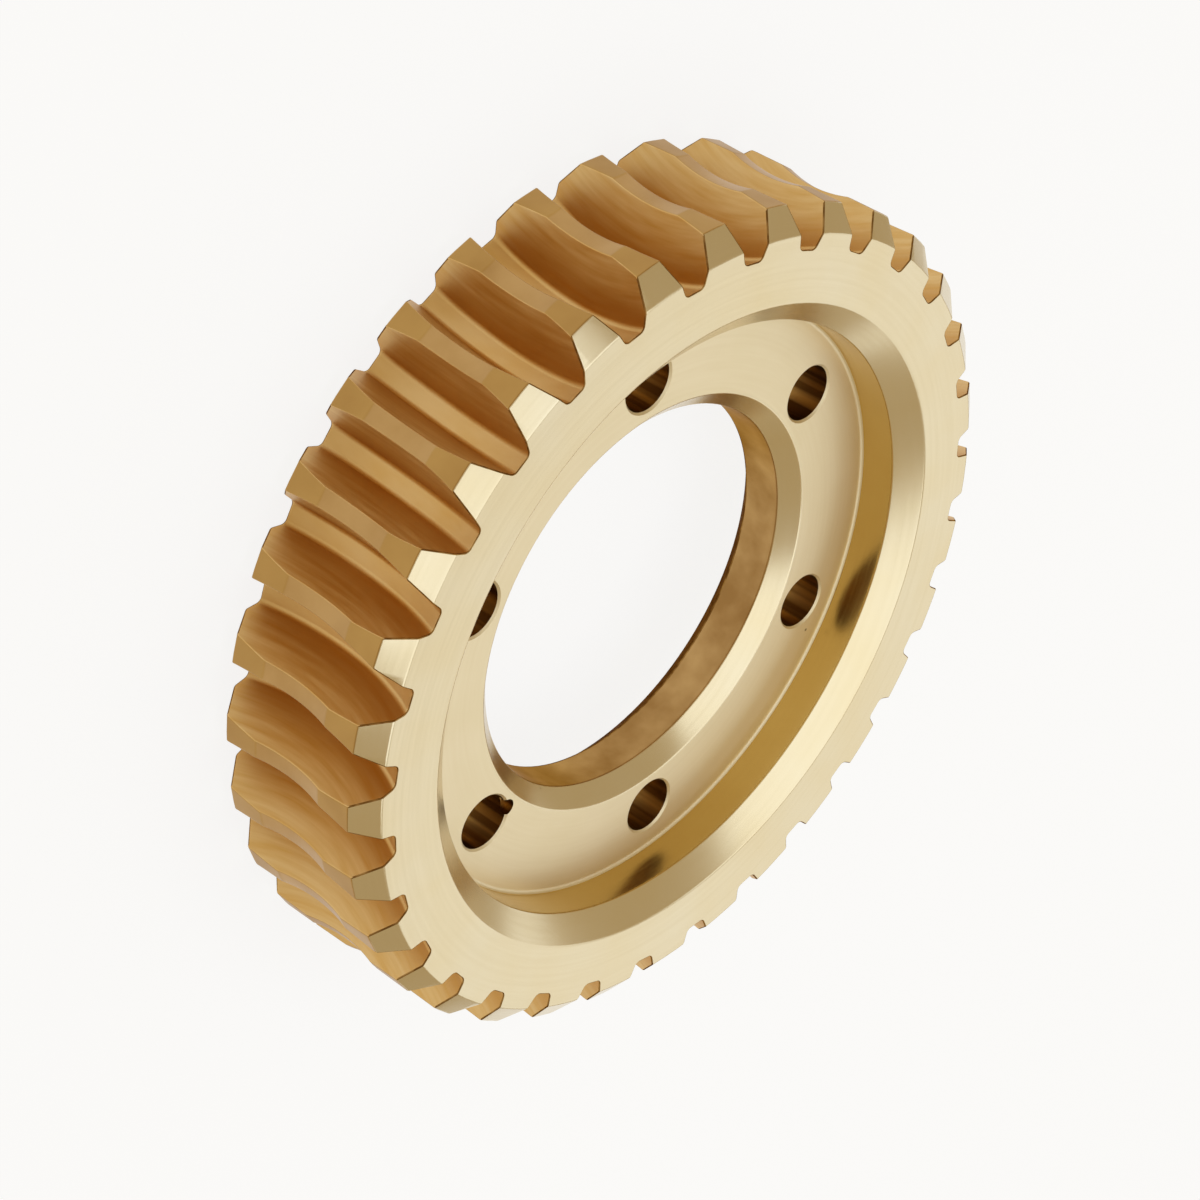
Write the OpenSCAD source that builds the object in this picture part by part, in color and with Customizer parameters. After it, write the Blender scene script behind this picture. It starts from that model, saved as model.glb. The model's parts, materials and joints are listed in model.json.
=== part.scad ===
// Worm gear: a bronze worm wheel ring, turned, drilled and hobbed out of one blank.
// The axis is Z and the ring lies on its back face at z = 0, with the origin on the axis.
// Both faces are alike: a toothed rim, a recess down to the web, and a bore through it.

/* [Teeth] */
// Number of teeth
teeth = 32; // [29:1:40]
// Module in the wheel's middle plane
tooth_module = 6; // [5.4:0.1:7]
// Thickness of a tooth at the pitch circle
tooth_t = 7.6; // [6.4:0.1:8.8]
// Slope of the tooth flanks in the worm's axial section, in degrees
flank_angle = 21.5; // [16:0.5:24]
// Pitch diameter of the worm that runs in the gaps
worm_d = 90; // [80:1:120]
// Number of thread starts on that worm, which sets how far the gaps slant
worm_starts = 1; // [1:1:3]
// Room between the worm's crest and the bottom of a gap
root_clearance = 1.7; // [1:0.1:2.4]
// Fillet along both sides of the bottom of a gap
root_fillet = 1.4; // [0.6:0.1:1.8]
// Turn from the first bolt hole to the gap beside it, in degrees
gap_turn = 3.55; // [0:0.05:11]

/* [Rim] */
// Width of the rim between its two faces
face_w = 47; // [42:0.5:54]
// Height of the plain lands over the deepest line of the throat
land_rise = 1.35; // [0.6:0.05:2.4]
// Bevel of the tooth ends, measured along the radius
end_bevel_r = 5.8; // [3:0.1:7]
// Bevel of the tooth ends, measured along the axis
end_bevel_w = 4.4; // [2:0.1:6]
// Diameter of the recess in each face
recess_d = 150; // [146:0.5:156]
// Bevel at the mouth of a recess, measured along the radius
mouth_bevel_r = 6.2; // [3:0.1:7]
// Bevel at the mouth of a recess, measured along the axis
mouth_bevel_w = 5; // [2:0.1:7]
// Fillet where the recess wall meets the web
recess_fillet = 1; // [0.4:0.1:2]

/* [Web] */
// Thickness of the web
web_t = 18; // [14:0.5:24]
// Diameter of the bore
bore_d = 97.5; // [84:0.5:102]
// Bevel at both ends of the bore, measured along the radius
bore_bevel_r = 4.4; // [1:0.1:5]
// Bevel at both ends of the bore, measured along the axis
bore_bevel_w = 4; // [1:0.1:6]

/* [Bolt holes] */
// Number of bolt holes
bolt_count = 6; // [4:2:8]
// Diameter of the circle through the bolt holes
bolt_circle_d = 125; // [122:0.5:132]
// Diameter of a bolt hole
bolt_hole_d = 14; // [9:0.5:15]
// Edge break at both ends of a bolt hole
hole_bevel = 0.5; // [0.2:0.1:1]
// Diameter of the nick in the rim of one bolt hole
nick_d = 4.4; // [3:0.1:6]
// Reach of the nick past that hole's wall
nick_reach = 2.1; // [1:0.1:2.5]
// Depth of the nick
nick_depth = 2; // [1:0.1:5]
// Direction of the nick, turned from outwards, in degrees
nick_turn = 150; // [120:1:240]

/* [Hidden] */
$fn = 128;

bronze = "#d3b071";
cut_through = 1;
corner_proud = 0.04;

pitch_r = teeth * tooth_module / 2;
tip_r = pitch_r + tooth_module;
land_r = tip_r + land_rise;

worm_r = worm_d / 2;
worm_axis_r = pitch_r + worm_r;
lead_angle = atan(worm_starts * tooth_module / worm_d);
throat_r = worm_axis_r - tip_r;
hob_r = worm_r + tooth_module + root_clearance;
gap_pitch_w = PI * tooth_module - tooth_t;

mid_z = face_w / 2;
half_web = web_t / 2;
recess_r = recess_d / 2;
bore_r = bore_d / 2;
nick_hole = bolt_count / 2;

// Half width of a gap at a distance from the worm's axis.
function gap_half_w(from_worm) = gap_pitch_w / 2 + (worm_r - from_worm) * tan(flank_angle);

// Upper half of the ring's section, from the bore outwards.
upper_outline = [
    [bore_r, half_web - bore_bevel_w],
    [bore_r + bore_bevel_r, half_web],
    [recess_r - recess_fillet, half_web],
    [recess_r, half_web + recess_fillet],
    [recess_r, mid_z - mouth_bevel_w],
    [recess_r + mouth_bevel_r, mid_z],
    [land_r - end_bevel_r, mid_z],
    [land_r, mid_z - end_bevel_w]
];

function mirrored(points) = [for (i = [len(points) - 1:-1:0]) [points[i].x, -points[i].y]];

// Turned section: the outline of both halves, the two fillets and the throat.
module ring_section() {
    difference() {
        polygon(concat(upper_outline, mirrored(upper_outline)));
        for (side = [-1, 1])
            translate([recess_r - recess_fillet, side * (half_web + recess_fillet)])
                circle(r = recess_fillet);
        translate([worm_axis_r, 0])
            circle(r = throat_r);
    }
}

// Section of one hob tooth: straight flanks and a crest with two rounded corners, which stand
// a hair proud of both, as on a hob that leaves room for a finishing cut.
module hob_tooth() {
    corner_in = root_fillet - corner_proud;
    corner_x = hob_r - corner_in;
    corner_y = gap_half_w(hob_r) - corner_in * tan(45 - flank_angle / 2);
    flank_end = [
        corner_x + corner_in * sin(flank_angle),
        corner_y + corner_in * cos(flank_angle)
    ];
    inner_x = throat_r - cut_through;
    upper_side = [[inner_x, gap_half_w(inner_x)], flank_end, [hob_r, corner_y]];
    polygon(concat(upper_side, mirrored(upper_side)));
    for (side = [-1, 1])
        translate([corner_x, side * corner_y])
            circle(r = root_fillet);
}

// The path of a hob tooth round the worm's axis, which leans by the lead angle.
module tooth_gap() {
    translate([worm_axis_r, 0, 0])
        rotate([-90 - lead_angle, 0, 0])
            rotate(90)
                rotate_extrude(angle = 180)
                    hob_tooth();
}

// A through hole with both its edges broken.
module bolt_hole() {
    hole_r = bolt_hole_d / 2;
    cylinder(r = hole_r, h = web_t + 2 * cut_through, center = true);
    for (side = [0, 1])
        mirror([0, 0, side])
            translate([0, 0, half_web - hole_bevel])
                cylinder(r1 = hole_r, r2 = hole_r + hole_bevel + cut_through, h = hole_bevel + cut_through);
}

// The half-round nick that one bolt hole has in its upper rim.
module rim_nick() {
    nick_x = bolt_hole_d / 2 + nick_reach - nick_d / 2;
    rotate(nick_turn)
        translate([nick_x, 0, half_web - nick_depth])
            cylinder(d = nick_d, h = nick_depth + cut_through);
}

module worm_gear() {
    color(bronze)
        translate([0, 0, mid_z])
            difference() {
                rotate_extrude()
                    ring_section();
                for (i = [0:teeth - 1])
                    rotate(gap_turn + i * 360 / teeth)
                        tooth_gap();
                for (i = [0:bolt_count - 1])
                    rotate(i * 360 / bolt_count)
                        translate([bolt_circle_d / 2, 0, 0])
                            bolt_hole();
                rotate(nick_hole * 360 / bolt_count)
                    translate([bolt_circle_d / 2, 0, 0])
                        rim_nick();
            }
}

worm_gear();
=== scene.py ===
# %% [markdown]
# # Bronze worm gear
# The object is a worm wheel ring: a bronze blank that was turned on a lathe, drilled, and then
# cut by a hob, which is a cutter of the same shape as the worm. This lesson dresses the packed
# CAD model of that ring. The frame fixes where everything is, so it is loaded first, and its box
# is kept for the outer sizes.

# %% Load the frame
import json
import math

import bmesh
import bpy
from mathutils import Matrix, Quaternion, Vector


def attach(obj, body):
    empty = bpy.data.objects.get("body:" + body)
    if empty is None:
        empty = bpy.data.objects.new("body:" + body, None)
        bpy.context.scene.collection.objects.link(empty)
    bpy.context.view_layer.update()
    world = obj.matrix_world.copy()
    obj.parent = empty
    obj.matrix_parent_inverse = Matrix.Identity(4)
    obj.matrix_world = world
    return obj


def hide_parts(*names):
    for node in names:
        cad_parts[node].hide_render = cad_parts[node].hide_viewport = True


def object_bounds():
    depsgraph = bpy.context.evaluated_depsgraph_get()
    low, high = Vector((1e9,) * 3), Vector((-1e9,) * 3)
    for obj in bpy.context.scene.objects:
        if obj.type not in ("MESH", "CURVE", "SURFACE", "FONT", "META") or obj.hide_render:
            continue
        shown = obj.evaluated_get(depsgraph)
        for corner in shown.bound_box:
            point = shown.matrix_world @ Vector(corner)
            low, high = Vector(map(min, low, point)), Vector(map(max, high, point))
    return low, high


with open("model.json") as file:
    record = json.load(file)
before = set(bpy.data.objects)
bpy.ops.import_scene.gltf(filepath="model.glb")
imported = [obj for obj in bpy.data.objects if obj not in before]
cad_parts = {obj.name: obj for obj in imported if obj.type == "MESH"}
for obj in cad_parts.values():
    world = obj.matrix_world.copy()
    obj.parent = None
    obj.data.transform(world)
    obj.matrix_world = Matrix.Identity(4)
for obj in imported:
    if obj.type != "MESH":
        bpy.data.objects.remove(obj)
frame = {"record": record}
cad_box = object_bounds()
print("CAD box:", [[round(c, 4) for c in corner] for corner in cad_box])

# %% [markdown]
# ## Sizes
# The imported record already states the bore, the recess and the bolt circle, so they are read from
# it, and the outer sizes come from the CAD box. The other sizes repeat the design in millimetres.
# Blender works in metres, so MM turns one into the other.

# %% Sizes of the wheel, in millimetres
MM = 0.001
mounts = {mount["name"]: mount["dims"] for mount in frame["record"]["mounts"]}
bore_r = mounts["bore"]["r_mm"]
recess_r = mounts["front_recess"]["r_mm"]
bolt_circle_r = mounts["bolts"]["pcd_mm"] / 2
bolt_count = mounts["bolts"]["count"]
bolt_hole_r = mounts["bolts"]["hole_r_mm"]
land_r = (cad_box[1][0] - cad_box[0][0]) / 2 / MM
face_w = (cad_box[1][2] - cad_box[0][2]) / MM
mid_z = face_w / 2

web_t = 18
bore_bevel_r, bore_bevel_w = 4.4, 4.0
mouth_bevel_r, mouth_bevel_w = 6.2, 5.0
end_bevel_r, end_bevel_w = 5.8, 4.4
recess_fillet = 1.0
print(f"land radius {land_r:.2f}, face width {face_w:.2f}, bore radius {bore_r}")

# %% [markdown]
# ## The teeth
# A worm wheel's gaps follow the worm, so they are measured from the worm's axis, which passes the
# wheel at the pitch radius plus the worm's own radius. The throat, a hollow round the rim, is part
# of a circle about that same axis.

# %% Sizes of the teeth, in millimetres
teeth = 32
tooth_module = 6
tooth_t = 7.6
flank_angle = math.radians(21.5)
worm_r = 45
root_clearance = 1.7
root_fillet = 1.4
gap_turn = math.radians(3.55)

pitch_r = teeth * tooth_module / 2
worm_axis_r = pitch_r + worm_r
lead_angle = math.atan(tooth_module / (2 * worm_r))
throat_r = worm_axis_r - pitch_r - tooth_module
hob_r = worm_r + tooth_module + root_clearance
gap_pitch_w = math.pi * tooth_module - tooth_t
pitch_angle = math.tau / teeth
print(f"lead angle {math.degrees(lead_angle):.2f} degrees, throat radius {throat_r:.1f}")

# %% [markdown]
# ## The section of the blank
# A lathe makes every face of the blank as a ring. Stacked cylinders and cones could give the same
# faces, but one section turned round the axis is closer to the real work. It is drawn as a wire in
# the plane y = 0, once for each half, from the bore outwards to the start of the throat.

# %% Draw the section
throat_half_z = math.sqrt(throat_r**2 - (worm_axis_r - land_r) ** 2)
section_half = [
    (bore_r, web_t / 2 - bore_bevel_w),
    (bore_r + bore_bevel_r, web_t / 2),
    (recess_r, web_t / 2),
    (recess_r, mid_z - mouth_bevel_w),
    (recess_r + mouth_bevel_r, mid_z),
    (land_r - end_bevel_r, mid_z),
    (land_r, mid_z - end_bevel_w),
    (land_r, throat_half_z),
]

wedge_bm = bmesh.new()
upper, lower = [
    [wedge_bm.verts.new((r * MM, 0, (mid_z + side * z) * MM)) for r, z in section_half]
    for side in (1, -1)
]
for row in (upper, lower):
    for start, end in zip(row, row[1:]):
        wedge_bm.edges.new((start, end))
wedge_bm.edges.new((upper[0], lower[0]))
print("section:", len(wedge_bm.verts), "corners")

# %% [markdown]
# ## Rounded corners and the throat
# A tool never leaves a perfectly sharp edge, and a thin bright line on each edge makes metal look
# real. The finished ring could be bevelled, but a vertex bevel on the wire does it before there are
# any faces. The throat is the last vertex of the upper half, spun about the worm's axis.

# %% Round the corners and add the throat
edge_round = 0.35
throat_steps = 48
point_merge = 0.005
# The corner between the web and the recess wall, counted from the bore.
recess_corner = 2


def round_corners(bm, corners, size, segments):
    """Rounds corners of a wire, or of a flat outline, with a vertex bevel."""
    bmesh.ops.bevel(
        bm,
        geom=corners,
        offset=size * MM,
        offset_type="OFFSET",
        segments=segments,
        profile=0.5,
        affect="VERTICES",
        material=-1,
    )


throat_start = upper[-1]
inner_corners = [upper[recess_corner], lower[recess_corner]]
outer_corners = [v for row in (upper, lower) for v in row[:-1] if v not in inner_corners]
round_corners(wedge_bm, inner_corners, recess_fillet, segments=4)
round_corners(wedge_bm, outer_corners, edge_round, segments=3)
bmesh.ops.spin(
    wedge_bm,
    geom=[throat_start],
    cent=(worm_axis_r * MM, 0, mid_z * MM),
    axis=(0, 1, 0),
    angle=-2 * math.asin(throat_half_z / throat_r),
    steps=throat_steps,
)
bmesh.ops.remove_doubles(wedge_bm, verts=wedge_bm.verts, dist=point_merge * MM)
print("section:", len(wedge_bm.verts), "points")

# %% [markdown]
# ## One wedge of the blank
# The wheel repeats once per tooth. A whole ring could be cut as often as it has gaps, but one wedge
# that is cut once and repeated is quicker and makes all teeth alike. It reaches from the middle of
# one tooth to the middle of the next, so the section is filled and spun by one pitch.

# %% Spin the wedge
cells_per_pitch = 4

bmesh.ops.contextual_create(wedge_bm, geom=wedge_bm.edges)
bmesh.ops.rotate(
    wedge_bm,
    verts=wedge_bm.verts,
    cent=(0, 0, 0),
    matrix=Matrix.Rotation(gap_turn - pitch_angle / 2, 3, "Z"),
)
bmesh.ops.spin(
    wedge_bm,
    geom=wedge_bm.verts[:] + wedge_bm.edges[:] + wedge_bm.faces[:],
    cent=(0, 0, 0),
    axis=(0, 0, 1),
    angle=pitch_angle,
    steps=cells_per_pitch,
)
bmesh.ops.recalc_face_normals(wedge_bm, faces=wedge_bm.faces)
print("wedge:", len(wedge_bm.faces), "faces")

# %% [markdown]
# ## Which tool cut which face
# Every tool leaves a finish of its own, so each face gets the number of its finish from its place.
# The rim was dulled by the hobbing, and the recess wall and the bore were cut with a boring bar.
# The bevel at the bore's lower end gets a dark painted shade.

# %% Give each face its finish
FINISHES = (
    "turned_bronze",
    "recess_bronze",
    "bored_bronze",
    "hobbed_bronze",
    "rim_bronze",
    "drilled_bronze",
    "painted_shade_edge",
)
TURNED, RECESS, BORED, HOBBED, RIM, DRILLED, PAINTED_SHADE = range(len(FINISHES))
rim_depth = 0.5
wall_tolerance = 0.15


def new_object(bm, name):
    """Turns a bmesh into an object at the origin and links it to the scene."""
    mesh = bpy.data.meshes.new(name)
    bm.to_mesh(mesh)
    bm.free()
    made = bpy.data.objects.new(name, mesh)
    bpy.context.scene.collection.objects.link(made)
    return made


rim_inner = pitch_r + tooth_module - rim_depth
lower_end = mid_z - web_t / 2 + bore_bevel_w + edge_round
for face in wedge_bm.faces:
    middle = face.calc_center_median()
    r, z = middle.xy.length / MM, middle.z / MM
    # The bevel at the bore's lower end gets the dark painted shade.
    if r < bore_r + bore_bevel_r and z < lower_end:
        face.material_index = PAINTED_SHADE
    elif r > rim_inner and abs(z - mid_z) < mid_z - end_bevel_w:
        face.material_index = RIM
    elif r < bore_r + wall_tolerance:
        face.material_index = BORED
    elif abs(r - recess_r) < wall_tolerance:
        face.material_index = RECESS
    else:
        face.material_index = TURNED
wedge = new_object(wedge_bm, "blank_wedge")
for number, finish in enumerate(FINISHES):
    print(finish, sum(p.material_index == number for p in wedge.data.polygons), "faces")

# %% [markdown]
# ## The hob's path
# The twisted flanks could be stretched over a row of curves, but it is easier to copy the tool. The
# hob tooth is a trapezoid with two rounded corners. Spun about the worm's axis, which leans by the
# lead angle, it sweeps the solid that the wheel loses at one gap, and so the flanks get their slow
# twist with no formula for the flank itself.

# %% Spin the hob tooth
hob_sweep = math.radians(110)
hob_steps = 72
cut_through = 1.0


def gap_half_w(from_worm):
    """Half width of a gap at a distance from the worm's axis, in millimetres."""
    return gap_pitch_w / 2 + (worm_r - from_worm) * math.tan(flank_angle)


hob_bm = bmesh.new()
hob_inner = throat_r - cut_through
hob_outline = [
    hob_bm.verts.new((r * MM, side * gap_half_w(r) * MM, 0))
    for r, side in ((hob_inner, 1), (hob_r, 1), (hob_r, -1), (hob_inner, -1))
]
for start, end in zip(hob_outline, hob_outline[1:] + hob_outline[:1]):
    hob_bm.edges.new((start, end))
fillet_offset = root_fillet * math.tan(math.pi / 4 - flank_angle / 2)
round_corners(hob_bm, hob_outline[1:3], fillet_offset, segments=5)
bmesh.ops.contextual_create(hob_bm, geom=hob_bm.edges)
bmesh.ops.rotate(
    hob_bm,
    verts=hob_bm.verts,
    cent=(0, 0, 0),
    matrix=Matrix.Rotation(-hob_sweep / 2, 3, "Y"),
)
bmesh.ops.spin(
    hob_bm,
    geom=hob_bm.verts[:] + hob_bm.edges[:] + hob_bm.faces[:],
    cent=(0, 0, 0),
    axis=(0, 1, 0),
    angle=hob_sweep,
    steps=hob_steps,
)
bmesh.ops.recalc_face_normals(hob_bm, faces=hob_bm.faces)
hob_place = (
    Matrix.Rotation(gap_turn, 4, "Z")
    @ Matrix.Translation((worm_axis_r * MM, 0, mid_z * MM))
    @ Matrix.Rotation(-lead_angle, 4, "X")
    @ Matrix.Rotation(math.pi, 4, "Z")
)
bmesh.ops.transform(hob_bm, matrix=hob_place, verts=hob_bm.verts)
for face in hob_bm.faces:
    face.material_index = HOBBED
hob = new_object(hob_bm, "hob_path")
print("hob path:", len(hob.data.polygons), "faces")

# %% [markdown]
# ## Tools for cutting
# A Boolean modifier takes one solid out of another. The new faces keep the cutter's finish, as
# long as both pieces hold the same materials in the same order.

# %% Helpers for cutting
for name in FINISHES:
    bpy.data.materials.new(name).use_nodes = True


def give_slots(piece):
    """Gives a piece the same material slots in the same order, so that face indices agree."""
    for finish in FINISHES:
        piece.data.materials.append(bpy.data.materials[finish])


def cut(blank, cutter):
    """Takes the cutter's solid out of the blank and returns the result as a bmesh."""
    modifier = blank.modifiers.new("cut", "BOOLEAN")
    modifier.operation = "DIFFERENCE"
    modifier.solver = "MANIFOLD"
    modifier.object = cutter
    bpy.context.view_layer.update()
    evaluated = blank.evaluated_get(bpy.context.evaluated_depsgraph_get())
    mesh = bpy.data.meshes.new_from_object(evaluated)
    result = bmesh.new()
    result.from_mesh(mesh)
    for used in (blank, cutter):
        bpy.data.objects.remove(used)
    return result


give_slots(wedge)
give_slots(hob)
print("material slots on the wedge:", len(wedge.data.materials))

# %% [markdown]
# ## Cut the gap and repeat it
# The hob's path is taken out of the wedge and leaves one gap. The wedge's two flat sides are then
# deleted, the rest is spun into the whole ring, and the seams are merged.

# %% Cut one gap and make the ring
sliver_merge = 0.06
seam_merge = 0.02
side_tolerance = 0.01

ring_bm = cut(wedge, hob)
side_normals = [
    Matrix.Rotation(gap_turn + side * pitch_angle / 2, 3, "Z") @ Vector((0, 1, 0))
    for side in (-1, 1)
]
wedge_sides = [
    face
    for face in ring_bm.faces
    if any(
        all(abs(v.co.dot(normal)) < side_tolerance * MM for v in face.verts)
        for normal in side_normals
    )
]
bmesh.ops.delete(ring_bm, geom=wedge_sides, context="FACES")
bmesh.ops.remove_doubles(ring_bm, verts=ring_bm.verts, dist=sliver_merge * MM)
bmesh.ops.spin(
    ring_bm,
    geom=ring_bm.verts[:] + ring_bm.edges[:] + ring_bm.faces[:],
    cent=(0, 0, 0),
    axis=(0, 0, 1),
    angle=math.tau - pitch_angle,
    steps=teeth - 1,
    use_duplicate=True,
)
bmesh.ops.remove_doubles(ring_bm, verts=ring_bm.verts, dist=seam_merge * MM)
open_edges = sum(not edge.is_manifold for edge in ring_bm.edges)
print("ring:", len(ring_bm.faces), "faces,", open_edges, "open edges")

# %% [markdown]
# ## Break the gap edges
# A hob leaves a burr where it comes out of the metal, which is filed off by hand. A Bevel modifier
# would round other edges too, so a bevel operator takes only those between a hobbed face and one
# that isn't. At the tooth ends the filed edges get a thin dark line of painted shade.

# %% Bevel the gap edges
burr_bevel = 0.3

gap_edges = [
    edge
    for edge in ring_bm.edges
    if len(edge.link_faces) == 2 and sum(f.material_index == HOBBED for f in edge.link_faces) == 1
]
filed = bmesh.ops.bevel(
    ring_bm,
    geom=gap_edges,
    offset=burr_bevel * MM,
    offset_type="OFFSET",
    segments=2,
    profile=0.5,
    affect="EDGES",
    clamp_overlap=False,
    material=-1,
)
# At the tooth ends the filed faces get the dark painted shade.
for face in filed["faces"]:
    from_mid = abs(face.calc_center_median().z / MM - mid_z)
    if from_mid > mid_z - end_bevel_w:
        face.material_index = PAINTED_SHADE
ring = new_object(ring_bm, "ring")
give_slots(ring)
print("gap edges:", len(gap_edges), "ring:", len(ring.data.polygons), "faces")

# %% [markdown]
# ## The bolt holes
# The holes are drilled through the web and their edges are broken with a countersink. A cylinder
# would cut the hole alone, but a spun section cuts the countersinks with it, so it is drawn once
# from the drill's axis outwards.

# %% Spin the drill
hole_bevel = 0.5
hole_steps = 64

drill_bm = bmesh.new()
drill_half = [
    (0, web_t / 2 + cut_through),
    (bolt_hole_r + hole_bevel + cut_through, web_t / 2 + cut_through),
    (bolt_hole_r, web_t / 2 - hole_bevel),
]
drill_section = drill_half + [(r, -z) for r, z in reversed(drill_half)]
drill_wire = [drill_bm.verts.new((r * MM, 0, z * MM)) for r, z in drill_section]
for start, end in zip(drill_wire, drill_wire[1:]):
    drill_bm.edges.new((start, end))
bmesh.ops.spin(
    drill_bm,
    geom=drill_bm.verts[:] + drill_bm.edges[:],
    cent=(0, 0, 0),
    axis=(0, 0, 1),
    angle=math.tau,
    steps=hole_steps,
    use_merge=True,
)
bmesh.ops.remove_doubles(drill_bm, verts=drill_bm.verts, dist=point_merge * MM)
bmesh.ops.translate(drill_bm, verts=drill_bm.verts, vec=(bolt_circle_r * MM, 0, mid_z * MM))
print("drill:", len(drill_bm.faces), "faces")

# %% [markdown]
# ## All holes at once
# The drill is copied round the bolt circle, and one Boolean cuts all the holes. The countersunk
# edges shine like the turned faces, and the walls, which are upright, get a darker finish.

# %% Drill the bolt holes
wall_tilt = 0.1

bmesh.ops.spin(
    drill_bm,
    geom=drill_bm.verts[:] + drill_bm.edges[:] + drill_bm.faces[:],
    cent=(0, 0, 0),
    axis=(0, 0, 1),
    angle=math.tau * (bolt_count - 1) / bolt_count,
    steps=bolt_count - 1,
    use_duplicate=True,
)
bmesh.ops.recalc_face_normals(drill_bm, faces=drill_bm.faces)
drill_bm.normal_update()
for face in drill_bm.faces:
    face.material_index = DRILLED if abs(face.normal.z) < wall_tilt else TURNED
drill = new_object(drill_bm, "drill_path")
give_slots(drill)
drilled_bm = cut(ring, drill)
drilled = new_object(drilled_bm, "drilled_ring")
give_slots(drilled)
print("drilled ring:", len(drilled.data.polygons), "faces")

# %% [markdown]
# ## The nick
# One hole has a small half-round nick in its upper rim. It could be pressed into the mesh by hand,
# but a short cylinder that stands partly in the hole's wall cuts it to its size.

# %% Cut the nick
nick_d, nick_reach, nick_depth = 4.4, 2.1, 2.0
nick_turn = math.radians(150)
nick_steps = 40

nick_h = nick_depth + cut_through
nick_bm = bmesh.new()
bmesh.ops.create_cone(
    nick_bm,
    cap_ends=True,
    segments=nick_steps,
    radius1=nick_d / 2 * MM,
    radius2=nick_d / 2 * MM,
    depth=nick_h * MM,
)
nick_out = Vector((bolt_hole_r + nick_reach - nick_d / 2, 0, 0))
hole_at = Vector((bolt_circle_r, 0, 0))
nick_at = Matrix.Rotation(math.pi, 3, "Z") @ (
    hole_at + Matrix.Rotation(nick_turn, 3, "Z") @ nick_out
)
nick_at.z = mid_z + web_t / 2 - nick_depth + nick_h / 2
bmesh.ops.translate(nick_bm, verts=nick_bm.verts, vec=nick_at * MM)
for face in nick_bm.faces:
    face.material_index = DRILLED
nick = new_object(nick_bm, "nick_path")
give_slots(nick)
wheel_bm = cut(drilled, nick)
open_edges = sum(not edge.is_manifold for edge in wheel_bm.edges)
print("wheel:", len(wheel_bm.faces), "faces,", open_edges, "open edges")

# %% [markdown]
# ## Finish the mesh
# The wheel replaces the CAD solid in the picture. Its faces are shaded smooth, and a Weighted
# Normal modifier lets the large flat faces set the normals, so that a narrow rounded edge bends
# the light and the face beside it stays flat.

# %% The wheel's object
sharp_angle = math.radians(38)

for face in wheel_bm.faces:
    face.smooth = True
wheel = new_object(wheel_bm, "worm_wheel")
give_slots(wheel)
weighted = wheel.modifiers.new("flat_faces_lead", "WEIGHTED_NORMAL")
weighted.keep_sharp = True
wheel.data.set_sharp_from_angle(angle=sharp_angle)
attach(wheel, "root")
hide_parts("worm_gear")
wheel_area = sum(p.area for p in wheel.data.polygons)
print(f"worm_wheel: {len(wheel.data.polygons)} faces, {wheel_area * 1e4:.0f} square centimetres")

# %% [markdown]
# ## Tools for the materials
# The finishes could be painted, but nodes that read the object coordinates stay sharp at any
# distance and need no unwrapping. Colours are written as the hex values that a colour picker shows
# and are turned to the linear values that the shader needs. One function adds a node, sets it up
# and links it.

# %% Helpers for materials
# A noise texture stays mostly between these two values.
NOISE_LOW, NOISE_HIGH = 0.3, 0.7
# A Mix node has sockets of the same name for each kind of value. These are the ones for colours.
MIX_A, MIX_B, MIX_RESULT = 6, 7, 2


def linear(hex_colour):
    """Turns an sRGB hex colour into linear red, green, blue and alpha."""
    parts = [int(hex_colour[i : i + 2], 16) / 255 for i in (1, 3, 5)]
    return [p / 12.92 if p <= 0.04045 else ((p + 0.055) / 1.055) ** 2.4 for p in parts] + [1]


def add(tree, kind, inputs=(), **settings):
    """Adds a node. inputs holds (socket, value) pairs, where a value is a number or an output."""
    made = tree.nodes.new(kind)
    for key, value in settings.items():
        setattr(made, key, value)
    for socket, value in inputs:
        if isinstance(value, bpy.types.NodeSocket):
            tree.links.new(value, made.inputs[socket])
        else:
            made.inputs[socket].default_value = value
    return made


def start_material(name):
    """Empties a material and returns its tree, its output node and the object coordinates."""
    tree = bpy.data.materials[name].node_tree
    tree.nodes.clear()
    output = add(tree, "ShaderNodeOutputMaterial")
    place = add(tree, "ShaderNodeTexCoord").outputs["Object"]
    return tree, output, place


print("finishes to make:", ", ".join(FINISHES))

# %% [markdown]
# ## Places on a lathe
# A lathe's marks run round the axis. So the patterns need the radius, the direction from the axis,
# and the radius together with the height, which stays the same all the way round.

# %% Helper for turned patterns


def lathe_place(tree, place):
    """Object coordinates as a lathe has them: radius, direction, and radius with height."""
    flat = add(tree, "ShaderNodeVectorMath", [(0, place), (1, (1, 1, 0))], operation="MULTIPLY")
    radius = add(tree, "ShaderNodeVectorMath", [(0, flat.outputs[0])], operation="LENGTH")
    around = add(tree, "ShaderNodeVectorMath", [(0, flat.outputs[0])], operation="NORMALIZE")
    height = add(tree, "ShaderNodeSeparateXYZ", [(0, place)])
    across = add(
        tree,
        "ShaderNodeCombineXYZ",
        [("X", radius.outputs["Value"]), ("Y", height.outputs["Z"])],
    )
    return {
        "radius": radius.outputs["Value"],
        "around": around.outputs[0],
        "across": across.outputs[0],
    }


print(lathe_place.__name__, "gives radius, around and across")

# %% [markdown]
# ## Turned bronze: its patterns
# The faces, the bevels and the web are turned tin bronze. A fine feed leaves rings that blur the
# reflections, and a tool that cuts a little unevenly leaves faint streaks along them. Rings could
# be modelled, but a noise that depends only on the radius and the height draws them at any size.
# For the streaks the same noise also drifts slowly round the axis. Larger patches come from the
# casting.

# %% Rings, streaks and patches
# The real feed is near 0.1 mm. That is finer than a pixel, so the rings are drawn coarser.
feed_mm = 0.6
streak_mm = 1.1
streak_drift_mm = 3
patch_mm = 22

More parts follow.
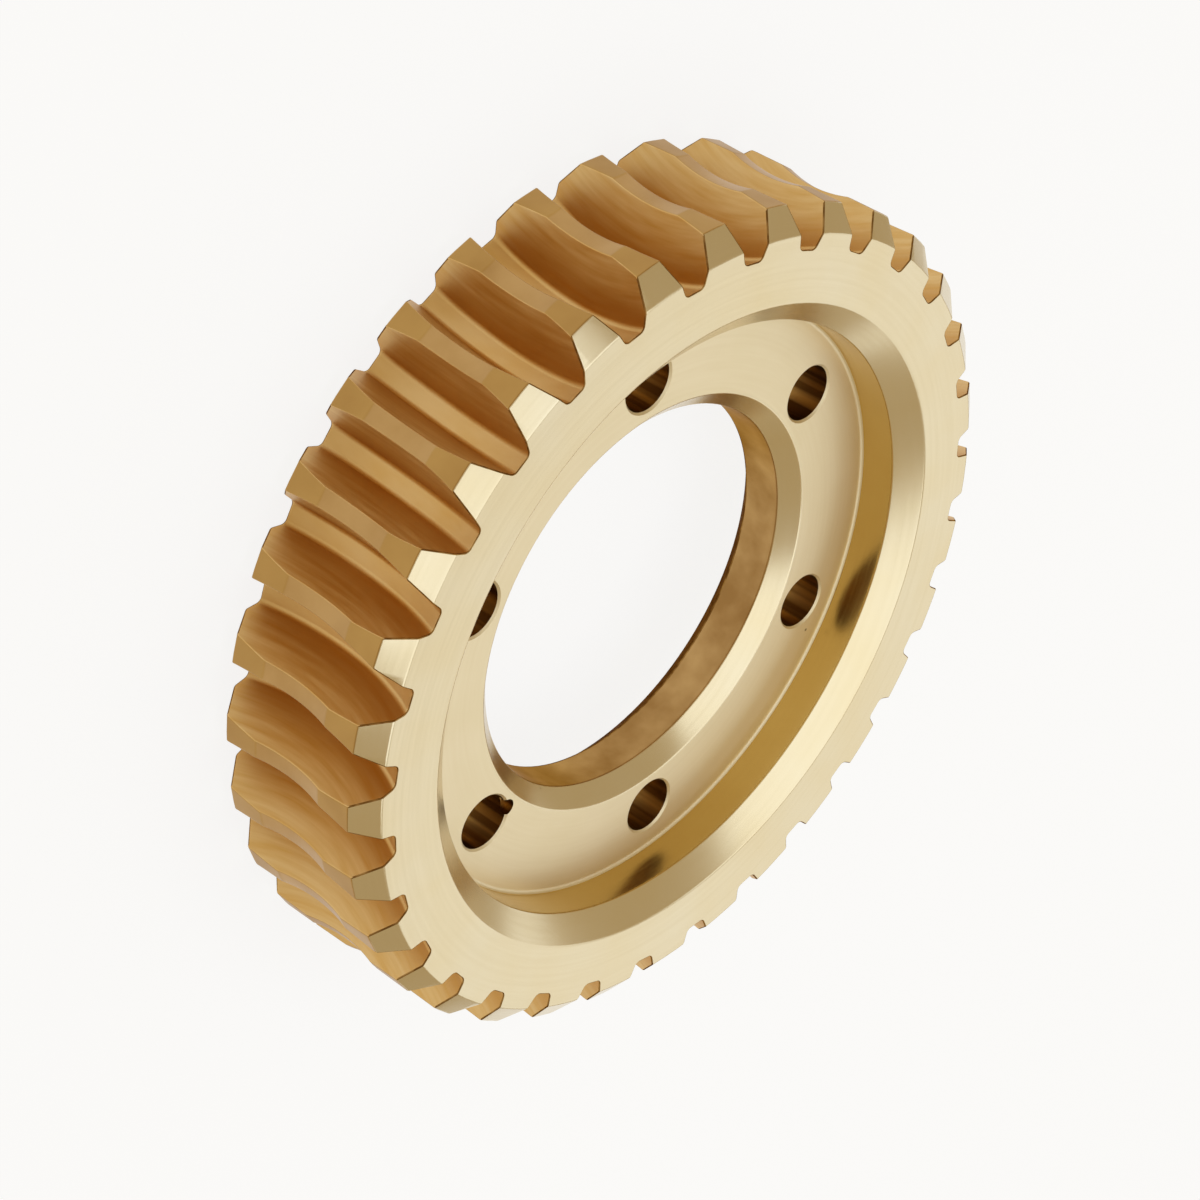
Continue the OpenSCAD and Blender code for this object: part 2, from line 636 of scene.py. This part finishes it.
# To the eye: a pale champagne satin.
tree, output, place = start_material("turned_bronze")
lathe = lathe_place(tree, place)
radius, around, across = lathe["radius"], lathe["around"], lathe["across"]
rings = add(
    tree, "ShaderNodeTexNoise", [("Vector", across), ("Scale", 1 / (feed_mm * MM)), ("Detail", 2)]
)
drift = add(
    tree, "ShaderNodeVectorMath", [(0, around), ("Scale", streak_drift_mm * MM)], operation="SCALE"
)
drifting = add(tree, "ShaderNodeVectorMath", [(0, across), (1, drift.outputs[0])], operation="ADD")
streaks = add(
    tree,
    "ShaderNodeTexNoise",
    [("Vector", drifting.outputs[0]), ("Scale", 1 / (streak_mm * MM)), ("Detail", 2)],
)
patches = add(
    tree, "ShaderNodeTexNoise", [("Vector", place), ("Scale", 1 / (patch_mm * MM)), ("Detail", 3)]
)
print(f"rings {feed_mm} mm, streaks {streak_mm} mm, patches {patch_mm} mm")

# %% [markdown]
# ## Turned bronze: its colours
# The bronze is a pale champagne that varies a little from patch to patch, and the streaks are
# slightly darker. The web is faced with a coarser feed, so it is duller than the rim, and it is
# painted paler as a painted sheen. It could have a material of its own, but the radius tells where
# it is, and so the patterns run on.

# %% Colours of turned bronze
patch_colour = add(
    tree,
    "ShaderNodeMix",
    [("Factor", patches.outputs["Fac"]), (MIX_A, linear("#e1d0a9")), (MIX_B, linear("#e6dcc4"))],
    data_type="RGBA",
)
web_inner_r = bore_r + bore_bevel_r
web_middle_r = (recess_r + web_inner_r) / 2
web_half_w = (recess_r - web_inner_r) / 2
on_web = add(
    tree,
    "ShaderNodeMath",
    [(0, radius), (1, web_middle_r * MM), (2, web_half_w * MM)],
    operation="COMPARE",
)
# The web's paler colour is a painted sheen.
web_sheen_patch = add(
    tree,
    "ShaderNodeMix",
    [("Factor", patches.outputs["Fac"]), (MIX_A, linear("#ebdfbf")), (MIX_B, linear("#f3e8cf"))],
    data_type="RGBA",
)
plain_colour = add(
    tree,
    "ShaderNodeMix",
    [
        ("Factor", on_web.outputs[0]),
        (MIX_A, patch_colour.outputs[MIX_RESULT]),
        (MIX_B, web_sheen_patch.outputs[MIX_RESULT]),
    ],
    data_type="RGBA",
)
streak_tone = add(
    tree,
    "ShaderNodeMapRange",
    [
        ("Value", streaks.outputs["Fac"]),
        ("From Min", NOISE_LOW),
        ("From Max", NOISE_HIGH),
        ("To Min", 0.0),
        ("To Max", 0.07),
    ],
)
streak_colour = add(
    tree,
    "ShaderNodeMix",
    [
        ("Factor", streak_tone.outputs[0]),
        (MIX_A, plain_colour.outputs[MIX_RESULT]),
        (MIX_B, linear("#cdb888")),
    ],
    data_type="RGBA",
)
print(f"the web reaches from radius {web_inner_r:.2f} to {recess_r:.2f} mm")

# %% [markdown]
# ## Turned bronze: its pores
# A casting shows a pore here and there. Single pits could be modelled, but they are smaller than a
# millimetre, so a dark dot is enough. A Voronoi texture places one in each of its cells, and only
# the few cells with a high random value keep it.

# %% Pores of turned bronze
pore_mm = 0.5
pore_spacing_mm = 15
cells_without_pore = 0.86

cells = add(
    tree, "ShaderNodeTexVoronoi", [("Vector", place), ("Scale", 1 / (pore_spacing_mm * MM))]
)
lucky = add(tree, "ShaderNodeSeparateColor", [(0, cells.outputs["Color"])])
chosen = add(
    tree,
    "ShaderNodeMath",
    [(0, lucky.outputs[0]), (1, cells_without_pore)],
    operation="GREATER_THAN",
)
pore_r = pore_mm / 2 / pore_spacing_mm
near = add(
    tree,
    "ShaderNodeMapRange",
    [
        ("Value", cells.outputs["Distance"]),
        ("From Min", pore_r),
        ("From Max", 2 * pore_r),
        ("To Min", 0.8),
        ("To Max", 0.0),
    ],
)
pores = add(
    tree, "ShaderNodeMath", [(0, chosen.outputs[0]), (1, near.outputs[0])], operation="MULTIPLY"
)
colour = add(
    tree,
    "ShaderNodeMix",
    [
        ("Factor", pores.outputs[0]),
        (MIX_A, streak_colour.outputs[MIX_RESULT]),
        (MIX_B, linear("#6f5a35")),
    ],
    data_type="RGBA",
)
print(f"pores of {pore_mm} mm in {1 - cells_without_pore:.0%} of the cells")

# %% [markdown]
# ## Turned bronze: its surface
# Clean metal shows only what it mirrors, tinted by its own colour, so the surface is all metallic.
# The roughness follows the streaks and is higher on the web. The rings could be part of the mesh,
# but they are so fine that a bump is enough.

# %% Surface of turned bronze
web_dullness = 0.28

roughness = add(
    tree,
    "ShaderNodeMapRange",
    [
        ("Value", streaks.outputs["Fac"]),
        ("From Min", NOISE_LOW),
        ("From Max", NOISE_HIGH),
        ("To Min", 0.21),
        ("To Max", 0.24),
    ],
)
duller = add(
    tree,
    "ShaderNodeMath",
    [(0, on_web.outputs[0]), (1, web_dullness), (2, roughness.outputs[0])],
    operation="MULTIPLY_ADD",
)
bump = add(
    tree,
    "ShaderNodeBump",
    [("Strength", 0.08), ("Distance", 0.02 * MM), ("Height", rings.outputs["Fac"])],
)
shader = add(
    tree,
    "ShaderNodeBsdfPrincipled",
    [
        ("Metallic", 1.0),
        ("Base Color", colour.outputs[MIX_RESULT]),
        ("Roughness", duller.outputs[0]),
        ("Normal", bump.outputs[0]),
    ],
)
tree.links.new(shader.outputs[0], output.inputs[0])
print("turned_bronze:", len(tree.nodes), "nodes")

# %% [markdown]
# ## Recess wall
# The wall of the recess is turned too, but with a boring bar. Bronze that mirrors bronze looks
# deeper and more golden, and the wall mirrors mostly the web. It could be turned bronze like the
# rest, but its own warm gold paints in that depth as a painted reflection, and its rings stay
# visible along it.

# %% Recess wall
wall_ring_mm = 0.9

# To the eye: a deep gold band, with fine rings along it.
tree, output, place = start_material("recess_bronze")
across = lathe_place(tree, place)["across"]
rings = add(
    tree,
    "ShaderNodeTexNoise",
    [("Vector", across), ("Scale", 1 / (wall_ring_mm * MM)), ("Detail", 1)],
)
patches = add(
    tree, "ShaderNodeTexNoise", [("Vector", place), ("Scale", 1 / (patch_mm * MM)), ("Detail", 3)]
)
# The warm gold of the wall is a painted reflection.
colour = add(
    tree,
    "ShaderNodeMix",
    [("Factor", patches.outputs["Fac"]), (MIX_A, linear("#d2af66")), (MIX_B, linear("#dec27d"))],
    data_type="RGBA",
)
roughness = add(
    tree,
    "ShaderNodeMapRange",
    [
        ("Value", rings.outputs["Fac"]),
        ("From Min", NOISE_LOW),
        ("From Max", NOISE_HIGH),
        ("To Min", 0.2),
        ("To Max", 0.26),
    ],
)
bump = add(
    tree,
    "ShaderNodeBump",
    [("Strength", 0.05), ("Distance", 0.02 * MM), ("Height", rings.outputs["Fac"])],
)
shader = add(
    tree,
    "ShaderNodeBsdfPrincipled",
    [
        ("Metallic", 1.0),
        ("Base Color", colour.outputs[MIX_RESULT]),
        ("Roughness", roughness.outputs[0]),
        ("Normal", bump.outputs[0]),
    ],
)
tree.links.new(shader.outputs[0], output.inputs[0])
print("recess_bronze:", len(tree.nodes), "nodes")

# %% [markdown]
# ## The bore
# The bore is the fitting surface for the hub, bored to size and then left. Handling and oil have
# dulled it to a matte brown with darker clouds. They could be painted, but a slow noise between two
# browns gives them too. Clean metal turns white at a grazing look and oily metal stays brown, so
# the shader's edge tint is brown.

# %% The bore
cloud_mm = 14

# To the eye: a dull, clouded brown.
tree, output, place = start_material("bored_bronze")
across = lathe_place(tree, place)["across"]
rings = add(
    tree,
    "ShaderNodeTexNoise",
    [("Vector", across), ("Scale", 1 / (wall_ring_mm * MM)), ("Detail", 1)],
)
clouds = add(
    tree, "ShaderNodeTexNoise", [("Vector", place), ("Scale", 1 / (cloud_mm * MM)), ("Detail", 4)]
)
cloud_tone = add(
    tree,
    "ShaderNodeMapRange",
    [
        ("Value", clouds.outputs["Fac"]),
        ("From Min", 0.35),
        ("From Max", 0.65),
        ("To Min", 0.0),
        ("To Max", 1.0),
    ],
)
colour = add(
    tree,
    "ShaderNodeMix",
    [("Factor", cloud_tone.outputs[0]), (MIX_A, linear("#a47c47")), (MIX_B, linear("#c49e66"))],
    data_type="RGBA",
)
roughness = add(
    tree,
    "ShaderNodeMapRange",
    [
        ("Value", clouds.outputs["Fac"]),
        ("From Min", NOISE_LOW),
        ("From Max", NOISE_HIGH),
        ("To Min", 0.46),
        ("To Max", 0.34),
    ],
)
bump = add(
    tree,
    "ShaderNodeBump",
    [("Strength", 0.12), ("Distance", 0.02 * MM), ("Height", rings.outputs["Fac"])],
)
shader = add(
    tree,
    "ShaderNodeBsdfPrincipled",
    [
        ("Metallic", 1.0),
        ("Base Color", colour.outputs[MIX_RESULT]),
        ("Specular Tint", linear("#cbb092")),
        ("Roughness", roughness.outputs[0]),
        ("Normal", bump.outputs[0]),
    ],
)
tree.links.new(shader.outputs[0], output.inputs[0])
print("bored_bronze:", len(tree.nodes), "nodes")

# %% [markdown]
# ## Hobbed bronze
# A hob shaves the flanks in many small cuts, so they are duller than the turned faces, with soft
# streaks. Each cutting edge swings round the worm's axis, so the streaks are arcs about it. A wave
# texture would repeat too evenly, so a noise on the distance from that axis draws them, with a slow
# drift from tooth to tooth and along each one.

# %% Streaks on the flanks
hob_streak_mm = 1.5
hob_drift_mm = 18
along_tooth_share = 0.08

# To the eye: a satin gold with brown depths.
tree, output, place = start_material("hobbed_bronze")
lathe = lathe_place(tree, place)
height = add(tree, "ShaderNodeSeparateXYZ", [(0, place)])
inwards = add(
    tree,
    "ShaderNodeMath",
    [(0, worm_axis_r * MM), (1, lathe["radius"])],
    operation="SUBTRACT",
)
from_mid = add(
    tree, "ShaderNodeMath", [(0, height.outputs["Z"]), (1, mid_z * MM)], operation="SUBTRACT"
)
worm_section = add(
    tree, "ShaderNodeCombineXYZ", [("X", inwards.outputs[0]), ("Y", from_mid.outputs[0])]
)
from_worm = add(tree, "ShaderNodeVectorMath", [(0, worm_section.outputs[0])], operation="LENGTH")
along = add(
    tree,
    "ShaderNodeMath",
    [(0, height.outputs["Z"]), (1, along_tooth_share)],
    operation="MULTIPLY",
)
hob_arc = add(
    tree,
    "ShaderNodeCombineXYZ",
    [("X", from_worm.outputs["Value"]), ("Y", along.outputs[0])],
)
drift = add(
    tree,
    "ShaderNodeVectorMath",
    [(0, lathe["around"]), ("Scale", hob_drift_mm * MM)],
    operation="SCALE",
)
drifting = add(
    tree,
    "ShaderNodeVectorMath",
    [(0, hob_arc.outputs[0]), (1, drift.outputs[0])],
    operation="ADD",
)
streaks = add(
    tree,
    "ShaderNodeTexNoise",
    [("Vector", drifting.outputs[0]), ("Scale", 1 / (hob_streak_mm * MM)), ("Detail", 3)],
)
streak_tone = add(
    tree,
    "ShaderNodeMapRange",
    [
        ("Value", streaks.outputs["Fac"]),
        ("From Min", NOISE_LOW),
        ("From Max", NOISE_HIGH),
        ("To Min", 0.0),
        ("To Max", 1.0),
    ],
)
print(f"flank streaks {hob_streak_mm} mm wide")

# %% [markdown]
# ## Hobbed bronze: its painted shade
# The flanks are painted browner towards the bottom of a gap, as painted shade for the light that a
# deep gap loses. The shade's share grows with the distance from the worm's axis and drops to
# nothing on the floor of the gap.

# %% Painted shade in the gaps
shade_from_mm, shade_full_mm = 9.0, 1.6
shade_most = 0.65
floor_from_mm, floor_full_mm = 1.0, 0.2

streak_colour = add(
    tree,
    "ShaderNodeMix",
    [("Factor", streak_tone.outputs[0]), (MIX_A, linear("#d3a861")), (MIX_B, linear("#e5c488"))],
    data_type="RGBA",
)
# The browner colour towards the bottom of a gap is painted shade.
deepening = add(
    tree,
    "ShaderNodeMapRange",
    [
        ("Value", from_worm.outputs["Value"]),
        ("From Min", (hob_r - shade_from_mm) * MM),
        ("From Max", (hob_r - shade_full_mm) * MM),
        ("To Min", 0.0),
        ("To Max", shade_most),
    ],
    interpolation_type="SMOOTHSTEP",
)
floor_unshaded = add(
    tree,
    "ShaderNodeMapRange",
    [
        ("Value", from_worm.outputs["Value"]),
        ("From Min", (hob_r - floor_from_mm) * MM),
        ("From Max", (hob_r - floor_full_mm) * MM),
        ("To Min", 1.0),
        ("To Max", 0.0),
    ],
    interpolation_type="SMOOTHSTEP",
)
painted_shade_share = add(
    tree,
    "ShaderNodeMath",
    [(0, deepening.outputs[0]), (1, floor_unshaded.outputs[0])],
    operation="MULTIPLY",
)
colour = add(
    tree,
    "ShaderNodeMix",
    [
        ("Factor", painted_shade_share.outputs[0]),
        (MIX_A, streak_colour.outputs[MIX_RESULT]),
        (MIX_B, linear("#c48f45")),
    ],
    data_type="RGBA",
)
print(f"oil from {shade_from_mm} to {shade_full_mm} mm above the floor of a gap")

# %% [markdown]
# ## Hobbed bronze: its surface
# The small cuts scatter the light, so the flanks are about twice as rough as the turned faces, and
# the streaks are raised enough to be seen in side light.

# %% Surface of the flanks
roughness = add(
    tree,
    "ShaderNodeMapRange",
    [
        ("Value", streaks.outputs["Fac"]),
        ("From Min", NOISE_LOW),
        ("From Max", NOISE_HIGH),
        ("To Min", 0.42),
        ("To Max", 0.52),
    ],
)
bump = add(
    tree,
    "ShaderNodeBump",
    [("Strength", 0.3), ("Distance", 0.05 * MM), ("Height", streaks.outputs["Fac"])],
)
shader = add(
    tree,
    "ShaderNodeBsdfPrincipled",
    [
        ("Metallic", 1.0),
        ("Base Color", colour.outputs[MIX_RESULT]),
        ("Roughness", roughness.outputs[0]),
        ("Normal", bump.outputs[0]),
    ],
)
tree.links.new(shader.outputs[0], output.inputs[0])
print("hobbed_bronze:", len(tree.nodes), "nodes")

# %% [markdown]
# ## The rim
# The tops of the teeth are the rest of the turned rim. The plain lands at both ends are a worn
# gold whose darkness is partly painted shade, and the throat between them is a little paler. Two
# materials could part them, but the radius does too: the throat lies deeper than the lands.

# %% Colours of the rim
throat_edge_mm = 0.12

# To the eye: worn gold with soft clouds.
tree, output, place = start_material("rim_bronze")
lathe = lathe_place(tree, place)
rings = add(
    tree,
    "ShaderNodeTexNoise",
    [("Vector", lathe["across"]), ("Scale", 1 / (wall_ring_mm * MM)), ("Detail", 1)],
)
clouds = add(
    tree, "ShaderNodeTexNoise", [("Vector", place), ("Scale", 1 / (cloud_mm * MM)), ("Detail", 4)]
)
land_share = add(
    tree,
    "ShaderNodeMapRange",
    [
        ("Value", lathe["radius"]),
        ("From Min", (land_r - 2 * throat_edge_mm) * MM),
        ("From Max", (land_r - throat_edge_mm) * MM),
        ("To Min", 0.0),
        ("To Max", 1.0),
    ],
)
# The rim's darker gold is partly painted shade, standing for the dimmer surroundings that it
# mirrors.
rim_colour = add(
    tree,
    "ShaderNodeMix",
    [("Factor", land_share.outputs[0]), (MIX_A, linear("#bd965f")), (MIX_B, linear("#b68e50"))],
    data_type="RGBA",
)
cloud_tone = add(
    tree,
    "ShaderNodeMapRange",
    [
        ("Value", clouds.outputs["Fac"]),
        ("From Min", 0.4),
        ("From Max", 0.75),
        ("To Min", 0.0),
        ("To Max", 0.45),
    ],
)
colour = add(
    tree,
    "ShaderNodeMix",
    [
        ("Factor", cloud_tone.outputs[0]),
        (MIX_A, rim_colour.outputs[MIX_RESULT]),
        (MIX_B, linear("#a67c42")),
    ],
    data_type="RGBA",
)
print(f"the colour of the lands is full from {throat_edge_mm} mm under their radius")

# %% [markdown]
# ## The rim: its surface
# Chips and oil have rubbed over the rim, so it is duller than the faces and the clouds make it
# uneven. The rings of the turning tool are still there under them.

# %% Surface of the rim
roughness = add(
    tree,
    "ShaderNodeMapRange",
    [
        ("Value", clouds.outputs["Fac"]),
        ("From Min", NOISE_LOW),
        ("From Max", NOISE_HIGH),
        ("To Min", 0.3),
        ("To Max", 0.42),
    ],
)
bump = add(
    tree,
    "ShaderNodeBump",
    [("Strength", 0.1), ("Distance", 0.02 * MM), ("Height", rings.outputs["Fac"])],
)
shader = add(
    tree,
    "ShaderNodeBsdfPrincipled",
    [
        ("Metallic", 1.0),
        ("Base Color", colour.outputs[MIX_RESULT]),
        ("Roughness", roughness.outputs[0]),
        ("Normal", bump.outputs[0]),
    ],
)
tree.links.new(shader.outputs[0], output.inputs[0])
print("rim_bronze:", len(tree.nodes), "nodes")

# %% [markdown]
# ## Drilled bronze
# A reamer goes down each hole after the drill and leaves streaks along it. The walls are dark brown
# with bright gold bands, whose bright gold is a painted reflection. Bands could be drawn round each
# hole's own axis, but a noise that is squeezed along the common axis serves all holes: its bands
# run from one end to the other.

# %% Drilled bronze
ream_band_mm = 3.2
ream_band_stretch = 40

# To the eye: dark brown with bright bands.
tree, output, place = start_material("drilled_bronze")
squeezed = add(
    tree, "ShaderNodeMapping", [("Vector", place), ("Scale", (1, 1, 1 / ream_band_stretch))]
)
bands = add(
    tree,
    "ShaderNodeTexNoise",
    [("Vector", squeezed.outputs[0]), ("Scale", 1 / (ream_band_mm * MM)), ("Detail", 2)],
)
reflection_band_tone = add(
    tree,
    "ShaderNodeMapRange",
    [
        ("Value", bands.outputs["Fac"]),
        ("From Min", 0.42),
        ("From Max", 0.62),
        ("To Min", 0.0),
        ("To Max", 1.0),
    ],
)
# The bright gold of the bands is a painted reflection.
colour = add(
    tree,
    "ShaderNodeMix",
    [("Factor", reflection_band_tone.outputs[0]), (MIX_A, linear("#6d4a1e")), (MIX_B, linear("#c39a55"))],
    data_type="RGBA",
)
roughness = add(
    tree,
    "ShaderNodeMapRange",
    [
        ("Value", bands.outputs["Fac"]),
        ("From Min", NOISE_LOW),
        ("From Max", NOISE_HIGH),
        ("To Min", 0.38),
        ("To Max", 0.29),
    ],
)
bump = add(
    tree,
    "ShaderNodeBump",
    [("Strength", 0.15), ("Distance", 0.03 * MM), ("Height", bands.outputs["Fac"])],
)
shader = add(
    tree,
    "ShaderNodeBsdfPrincipled",
    [
        ("Metallic", 1.0),
        ("Base Color", colour.outputs[MIX_RESULT]),
        ("Roughness", roughness.outputs[0]),
        ("Normal", bump.outputs[0]),
    ],
)
tree.links.new(shader.outputs[0], output.inputs[0])
print("drilled_bronze:", len(tree.nodes), "nodes")

# %% [markdown]
# ## Painted shade on the edges
# Where the hob came out of the metal, the filed edge is rough, and a thin dark line of painted
# shade follows each gap on the end faces. The same painted shade lies on the bevel at the bore's
# lower end. A noise breaks the lines up and varies their roughness, as a file never takes off the
# same amount twice, and a dark edge tint keeps them dark at a grazing look.

# %% Painted shade on the edges
edge_break_mm = 2.5

# To the eye: a thin, broken dark line.
tree, output, place = start_material("painted_shade_edge")
breaks = add(
    tree,
    "ShaderNodeTexNoise",
    [("Vector", place), ("Scale", 1 / (edge_break_mm * MM)), ("Detail", 3)],
)
break_tone = add(
    tree,
    "ShaderNodeMapRange",
    [
        ("Value", breaks.outputs["Fac"]),
        ("From Min", 0.4),
        ("From Max", 0.65),
        ("To Min", 0.0),
        ("To Max", 1.0),
    ],
)
# The dark brown here is painted shade.
colour = add(
    tree,
    "ShaderNodeMix",
    [("Factor", break_tone.outputs[0]), (MIX_A, linear("#7d5829")), (MIX_B, linear("#a8824b"))],
    data_type="RGBA",
)
roughness = add(
    tree,
    "ShaderNodeMapRange",
    [
        ("Value", breaks.outputs["Fac"]),
        ("From Min", NOISE_LOW),
        ("From Max", NOISE_HIGH),
        ("To Min", 0.6),
        ("To Max", 0.4),
    ],
)
shader = add(
    tree,
    "ShaderNodeBsdfPrincipled",
    [
        ("Metallic", 1.0),
        ("Base Color", colour.outputs[MIX_RESULT]),
        ("Specular Tint", linear("#5a3a18")),
        ("Roughness", roughness.outputs[0]),
    ],
)
tree.links.new(shader.outputs[0], output.inputs[0])
print("painted_shade_edge:", len(tree.nodes), "nodes")

# %% [markdown]
# ## Floor
# The ring lies flat on white paper. Paper that is only lit would turn grey beside bright metal. So
# to the camera, and in the mirror of the metal, most of its brightness is its own light. The rest
# is lit by the lamps and keeps the soft shadow of the ring.

# %% Floor
floor_half = 6
white_share = 0.84

floor_bm = bmesh.new()
bmesh.ops.create_grid(floor_bm, x_segments=1, y_segments=1, size=floor_half)
floor = new_object(floor_bm, "floor")
white_paper = bpy.data.materials.new("white_paper")
white_paper.use_nodes = True
tree = white_paper.node_tree
tree.nodes.clear()
output = add(tree, "ShaderNodeOutputMaterial")
paper = add(tree, "ShaderNodeBsdfDiffuse", [("Color", linear("#fbfbfb"))])
white = add(tree, "ShaderNodeEmission", [("Color", linear("#ffffff")), ("Strength", 1.0)])
path = add(tree, "ShaderNodeLightPath")
seen_or_mirrored = add(
    tree,
    "ShaderNodeMath",
    [(0, path.outputs["Is Camera Ray"]), (1, path.outputs["Is Glossy Ray"])],
    operation="MAXIMUM",
)
seen = add(
    tree,
    "ShaderNodeMath",
    [(0, seen_or_mirrored.outputs[0]), (1, path.outputs["Is Transmission Ray"])],
    operation="MAXIMUM",
)
share = add(tree, "ShaderNodeMath", [(0, seen.outputs[0]), (1, white_share)], operation="MULTIPLY")
mixed = add(
    tree,
    "ShaderNodeMixShader",
    [(0, share.outputs[0]), (1, paper.outputs[0]), (2, white.outputs[0])],
)
tree.links.new(mixed.outputs[0], output.inputs[0])
floor.data.materials.append(white_paper)
print("floor:", 2 * floor_half, "metres wide")

# %% [markdown]
# ## Light
# Metal shows what is around it, so the room is part of the finish. A dim, warm world turns the
# bevels that mirror no lamp golden. Three large soft lamps, a little cooler, make the faces that
# mirror them pale: one overhead, a panel behind the ring for the front face, and a fill behind the
# camera for the recess wall. A lamp's brightness is what a mirror shows of it, which is its power
# divided by pi and by its area.

# %% Light
scene = bpy.context.scene
scene.view_settings.view_transform = "Standard"
world = bpy.data.worlds.new("room")
world.use_nodes = True
scene.world = world
room_light = world.node_tree.nodes["Background"]
room_light.inputs["Color"].default_value = linear("#ffe6b6")
room_light.inputs["Strength"].default_value = 0.5


def direction(azimuth, elevation):
    """The unit vector from the ring towards a place in the room, from two angles in degrees."""
    turn, lift = math.radians(azimuth), math.radians(elevation)
    level = math.cos(lift)
    return Vector((level * math.cos(turn), level * math.sin(turn), math.sin(lift)))


def lamp(name, azimuth, elevation, away, size, brightness):
    """A soft rectangular lamp aimed at the ring. Its brightness is what a mirror shows of it."""
    data = bpy.data.lights.new(name, "AREA")
    data.shape = "RECTANGLE"
    data.size, data.size_y = size
    data.color = linear("#e2f1ff")[:3]
    data.energy = brightness * math.pi * size[0] * size[1]
    made = bpy.data.objects.new(name, data)
    scene.collection.objects.link(made)
    outwards = direction(azimuth, elevation)
    made.location = Vector((0, 0, mid_z * MM)) + away * outwards
    made.rotation_euler = outwards.to_track_quat("Z", "Y").to_euler()
    made.visible_camera = False
    print(f"{name}: {data.energy:.2f} W")


lamp("overhead", azimuth=180, elevation=87, away=0.8, size=(1.0, 0.95), brightness=1.0)
lamp("back_panel", azimuth=-77, elevation=29, away=1.05, size=(1.3, 0.6), brightness=0.7)
lamp("side_fill", azimuth=95, elevation=30, away=1.1, size=(1.6, 0.4), brightness=0.43)

# %% [markdown]
# ## Camera
# The camera looks down on the ring from the side. In the photograph the ring seems to stand on its
# rim. The ring could be turned up, but the frame fixes how it lies, so the camera is rolled far
# over instead.

# %% Camera
camera_aim = Vector((-4.9, 0.6, 21.3)) * MM
camera_towards = direction(azimuth=101.0, elevation=32.64)
camera_roll = math.radians(121.17)
camera_distance = 787.6 * MM
camera_lens = 102.4

camera = bpy.data.objects.new("camera", bpy.data.cameras.new("camera"))
scene.collection.objects.link(camera)
camera.data.lens = camera_lens
camera.rotation_mode = "QUATERNION"
level_view = camera_towards.to_track_quat("Z", "Y")
camera.rotation_quaternion = level_view @ Quaternion((0, 0, 1), camera_roll)
camera.location = camera_aim + camera_distance * camera_towards
scene.camera = camera
print("camera at", [round(c, 3) for c in camera.location])
